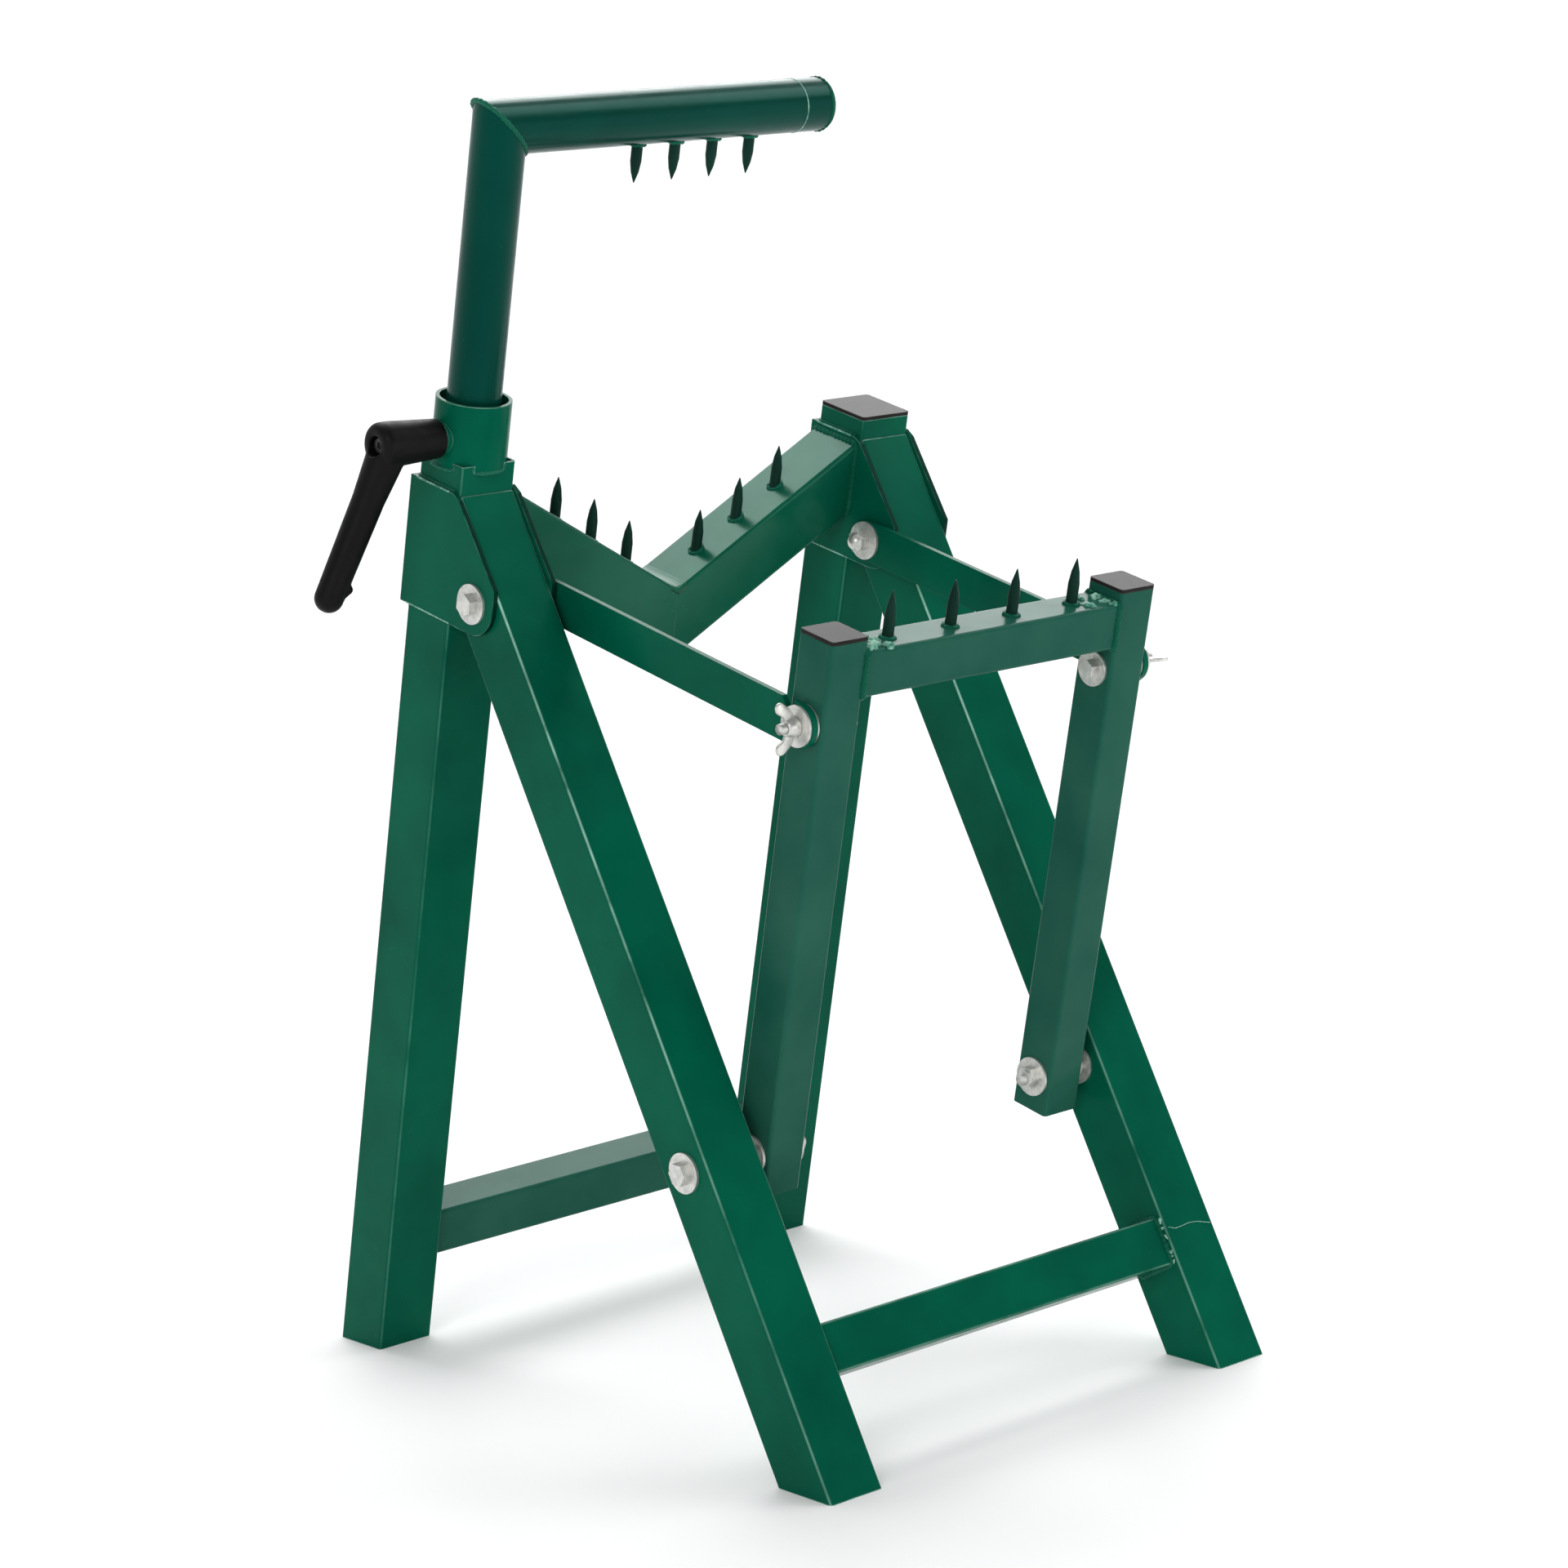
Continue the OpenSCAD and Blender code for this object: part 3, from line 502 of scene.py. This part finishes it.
for k in range(9):
    x = MID_HALF - MID_R - rng.uniform(1, 27)
    f, turn, half = rng.uniform(-14, 15), rng.uniform(0, math.pi), rng.uniform(3.0, 6.5)
    paths.append(([mid_pt(min(x + half * math.cos(turn) * t, MID_HALF - MID_R), f + half * math.sin(turn) * t,
                          MID_BAR_TOP + 0.1 - 0.4 * abs(t)) for t in (-1, -0.5, 0, 0.5, 1)], False))
beads("middle_bar_end_welds", paths, 0.0031, "middle_frame", CHIP_AND_GLINT)

# Weld rings round the spikes' feet
ring = [2 * math.pi * k / 24 for k in range(24)]
r = SPIKE_R + 0.6
paths = []
for side in (-1, 1):
    for i in range(3):
        x = (i + 0.95) * CRADLE_PITCH
        z = CRADLE_TOP - (HALF - LEG_R - x) * CRADLE_TAN
        paths.append(([post_pt(side * (x + r * math.cos(t)), r * math.sin(t), z + r * math.cos(t) * CRADLE_TAN)
                       for t in ring], True))
beads("cradle_spike_welds", paths, 0.0017, "rear_frame")
paths = [([mid_pt(i * MID_PITCH + r * math.cos(t), r * math.sin(t), MID_BAR_TOP) for t in ring], True)
         for i in (-1.5, -0.5, 0.5, 1.5)]
beads("middle_spike_welds", paths, 0.0021, "middle_frame")
paths = [([post_pt(ARM_START + i * ARM_PITCH + r * math.cos(t) - HALF, r * math.sin(t),
                   ARM_UP - math.sqrt(ARM_R ** 2 - (r * math.sin(t)) ** 2)) for t in ring], True) for i in range(4)]
beads("arm_spike_welds", paths, 0.0021, "clamp_arm")

# Clamp arm: mitre seam, end seam and the seam line near the end
turn = [2 * math.pi * k / 48 for k in range(48)]
beads("arm_mitre_weld", [([post_pt(ARM_R * math.sin(t) - HALF, ARM_R * math.cos(t), ARM_UP - ARM_R * math.sin(t))
                           for t in turn], True)], 0.0020, "clamp_arm")


def arm_ring(x, radius):
    """Circle round the arm bar, x from the upright tube."""
    return [post_pt(x - HALF, radius * math.cos(t), ARM_UP + radius * math.sin(t)) for t in turn]


beads("arm_end_weld", [(arm_ring(ARM_REACH - 2.6, ARM_R - 0.7), True)], 0.0016, "clamp_arm")
beads("arm_seam_line", [(arm_ring(ARM_REACH - 30, ARM_R - 0.2), True)], 0.0006, "clamp_arm", CHIP_AND_GLINT)


# Bolt threads where the ends stand past their nuts
def threads(name, ends, body, pitch=1.25, depth=0.55):
    """Screw thread on bolt ends; ends are (point, direction, radius, length) in metres."""
    verts, faces = [], []
    for start, d, radius, length in ends:
        side = d.orthogonal().normalized()
        steps, rings = 20, max(2, int(length / (pitch * MM / 4)))
        base = len(verts)
        for i in range(rings + 1):
            for j in range(steps):
                phase = (i / 4 + j / steps) % 1.0
                rr = radius + 0.00015 - depth * MM * abs(2 * phase - 1)
                spoke = Matrix.Rotation(2 * math.pi * j / steps, 3, d) @ side
                verts.append(start + d * (length * i / rings) + spoke * rr)
        for i in range(rings):
            for j in range(steps):
                k = (j + 1) % steps
                faces.append((base + i * steps + j, base + i * steps + k,
                              base + (i + 1) * steps + k, base + (i + 1) * steps + j))
        faces.append(tuple(base + j for j in range(steps)))
        faces.append(tuple(base + rings * steps + j for j in range(steps)))
    return make(name, verts, faces, ZINC, body)


lower_end = MID_FACE - 2 * MID_R - 0.1 - WASHER_T - 9.0
threads("lower_bolt_threads", [(leg_pt(s * lower_end, 0, -LOWER_DOWN), XDIR * -s, 0.0052, 0.0032) for s in (-1, 1)],
        "front_legs")
wing_end = STRUT_X + WASHER_T + 0.2 + 8 * 1.3
threads("strut_bolt_threads", [(mid_pt(s * wing_end, 0, STRUT_UP), XDIR * s, 0.0042, 0.0056) for s in (-1, 1)],
        "middle_frame", 1.0, 0.45)


# Wing nuts with rounded hubs and smooth wings
def smooth_outline(points, steps=6):
    """A smooth closed curve through the points."""
    out, n = [], len(points)
    for i in range(n):
        a, b, c, d = (Vector(points[(i + k) % n]) for k in (-1, 0, 1, 2))
        for k in range(steps):
            t = k / steps
            out.append(0.5 * (2 * b + (c - a) * t + (2 * a - 5 * b + 4 * c - d) * t * t
                              + (3 * b - a - 3 * c + d) * t ** 3))
    return out


def wing_nut(side, name, degrees):
    """Wing nut that replaces the CAD node of that name, its wings turned by degrees."""
    seat = STRUT_X + 0.2 + WASHER_T
    tilt = math.radians(degrees)
    verts, faces = [], []
    profile = [(4.15, 0), (7.6, 0), (8.0, 0.6), (7.6, 5.0), (7.0, 7.2), (6.4, 9.2), (5.6, 10.2), (4.15, 10.6)]
    steps = 36
    for out, rr in ((z, q) for q, z in profile):
        for j in range(steps):
            t = 2 * math.pi * j / steps
            verts.append(mid_pt(side * (seat + out), rr * math.cos(t), STRUT_UP + rr * math.sin(t)))
    rows = len(profile)
    for i in range(rows):
        for j in range(steps):
            k = (j + 1) % steps
            n = (i + 1) % rows
            faces.append((i * steps + j, i * steps + k, n * steps + k, n * steps + j))
    outline = smooth_outline([(1.2, 5.2), (3.6, 11.8), (8.4, 16.4), (13.4, 19.6), (17.2, 19.2), (18.9, 16.2),
                              (17.6, 12.2), (12.2, 8.6), (9.6, 5.2)])
    for flip in (1, -1):
        base = len(verts)
        center = sum(outline, Vector((0, 0))) / len(outline)
        layers = [(-1.45, 0.86), (-1.2, 0.955), (-0.6, 1.0), (0.6, 1.0), (1.2, 0.955), (1.45, 0.86)]
        for off, shrink in layers:
            for q in outline:
                x, r2 = center + (q - center) * shrink
                f = flip * r2 * math.sin(tilt) + off * math.cos(tilt)
                u = flip * r2 * math.cos(tilt) - off * math.sin(tilt)
                verts.append(mid_pt(side * (seat + x), f, STRUT_UP + u))
        n = len(outline)
        for i in range(len(layers) - 1):
            for j in range(n):
                k = (j + 1) % n
                faces.append((base + i * n + j, base + i * n + k, base + (i + 1) * n + k, base + (i + 1) * n + j))
        faces.append(tuple(base + j for j in range(n)))
        faces.append(tuple(base + (len(layers) - 1) * n + j for j in range(n)))
    obj = make(f"{name}_shape", verts, faces, ZINC, name)
    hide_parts(name)


wing_nut(-1, "wing_nut_left", -11)
wing_nut(1, "wing_nut_right", 76)

# The lever's moulded joints are rounded
lever = nodes["clamp_lever"]
mod = lever.modifiers.new("skin", "REMESH")
mod.mode = "VOXEL"
mod.voxel_size = 0.0009
mod.use_smooth_shade = True
mod = lever.modifiers.new("soften", "SMOOTH")
mod.factor = 0.5
mod.iterations = 4

# Camera from the fitted view
SCALE = 1.015
AZ, EL, ROLL = (math.radians(v) for v in (-41.6379, 10.933, -2.1583))
# The view was fitted about the leg pivot
target = PIVOT * MM + Vector((-20.179, -307.1603 + 201.954, 472.2226 - 633.871)) * SCALE * MM
back = Vector((math.sin(AZ) * math.cos(EL), -math.cos(AZ) * math.cos(EL), math.sin(EL)))
right = (-back).cross(Vector((0, 0, 1))).normalized()
upward = right.cross(-back)
c, s = math.cos(ROLL), math.sin(ROLL)
right, upward = c * right + s * upward, -s * right + c * upward
cam_data = bpy.data.cameras.new("camera")
cam_data.sensor_width = 36.0
cam_data.lens = 5477.7019 / 1920 * 36.0
cam_data.clip_end = 500.0
cam = bpy.data.objects.new("camera", cam_data)
bpy.context.collection.objects.link(cam)
place = Matrix((right, upward, back)).transposed().to_4x4()
place.translation = target + back * (3505.4393 * SCALE * MM) - right * 0.0013
cam.matrix_world = place
bpy.context.scene.camera = cam

# Floor and light
mesh = bpy.data.meshes.new("floor")
mesh.from_pydata([(-150, -150, 0), (150, -150, 0), (150, 150, 0), (-150, 150, 0)], [], [(0, 1, 2, 3)])
floor = bpy.data.objects.new("floor", mesh)
bpy.context.collection.objects.link(floor)
g = Graph("floor")
tint = g.mix(g.noise(0.8, 2.0), (0.92, 0.92, 0.92), (0.94, 0.94, 0.94))
g.bsdf.inputs["Specular IOR Level"].default_value = 0.0
# A white background where the floor is seen, straight on or mirrored; its shadow stays
rays = g.add("ShaderNodeLightPath")
seen = rays.outputs["Is Camera Ray"]
for kind in ("Is Glossy Ray", "Is Transmission Ray"):
    join = g.add("ShaderNodeMath", operation="MAXIMUM")
    g.link(seen, join.inputs[0])
    g.link(rays.outputs[kind], join.inputs[1])
    seen = join.outputs["Value"]
g.bsdf.inputs["Emission Color"].default_value = (1, 1, 1, 1)
g.link(g.span(seen, 0.0, 1.0, 0.0, 0.09), g.bsdf.inputs["Emission Strength"])
mesh.materials.append(g.out(tint, g.span(g.noise(3.0), 0.3, 0.7, 0.85, 0.95)))

world = bpy.data.worlds.new("studio")
bpy.context.scene.world = world
world.use_nodes = True
tree = world.node_tree
bg = tree.nodes["Background"]
bg.inputs["Color"].default_value = (0.97, 0.985, 1.0, 1)
# A bright horizon; the ceiling is greyer, and darkest over the front
tree_coords = tree.nodes.new("ShaderNodeTexCoord").outputs["Generated"]
sky = tree.nodes.new("ShaderNodeSeparateXYZ")
tree.links.new(tree_coords, sky.inputs["Vector"])
ahead = tree.nodes.new("ShaderNodeVectorMath")
ahead.operation = "DOT_PRODUCT"
ahead.inputs[1].default_value = (-0.60, -0.80, 0.0)
tree.links.new(tree_coords, ahead.inputs[0])
ceiling = tree.nodes.new("ShaderNodeMapRange")
level = tree.nodes.new("ShaderNodeMapRange")
for ramp, lo, hi, start, stop in ((ceiling, -0.3, 0.4, 0.60, 0.20), (level, 0.08, 0.40, 1.0, 0.5)):
    ramp.interpolation_type = "SMOOTHSTEP"
    ramp.inputs["From Min"].default_value = lo
    ramp.inputs["From Max"].default_value = hi
    ramp.inputs["To Min"].default_value = start
    ramp.inputs["To Max"].default_value = stop
tree.links.new(ahead.outputs["Value"], ceiling.inputs["Value"])
tree.links.new(ceiling.outputs["Result"], level.inputs["To Max"])
tree.links.new(sky.outputs["Z"], level.inputs["Value"])
tree.links.new(level.outputs["Result"], bg.inputs["Strength"])


def sun(name, towards, power, angle):
    """Soft sun that shines towards a direction."""
    lamp = bpy.data.lights.new(name, "SUN")
    lamp.energy = power
    lamp.angle = math.radians(angle)
    obj = bpy.data.objects.new(name, lamp)
    bpy.context.collection.objects.link(obj)
    obj.rotation_euler = Vector(towards).to_track_quat("-Z", "Y").to_euler()


def strip(name, place, aim, width, height, power):
    """Soft panel lamp that is aimed at a point."""
    lamp = bpy.data.lights.new(name, "AREA")
    lamp.shape = "RECTANGLE"
    lamp.size = width
    lamp.size_y = height
    lamp.energy = power
    obj = bpy.data.objects.new(name, lamp)
    bpy.context.collection.objects.link(obj)
    obj.location = place
    obj.rotation_euler = (Vector(aim) - Vector(place)).to_track_quat("-Z", "Y").to_euler()


sun("overhead", (-0.14, -0.56, -0.82), 1.25, 34)
sun("back", (-0.63, -0.58, -0.51), 1.0, 36)
sun("fill", (0.78, 0.46, -0.42), 0.8, 24)
strip("panel_right", (0.6, -2.9, 0.9), (0, 0, 0.7), 2.2, 1.6, 12)
strip("strip_top", (1.5, -0.65, 2.6), (0, 0, 1.0), 1.1, 1.7, 17)

bpy.context.scene.view_settings.view_transform = "Standard"
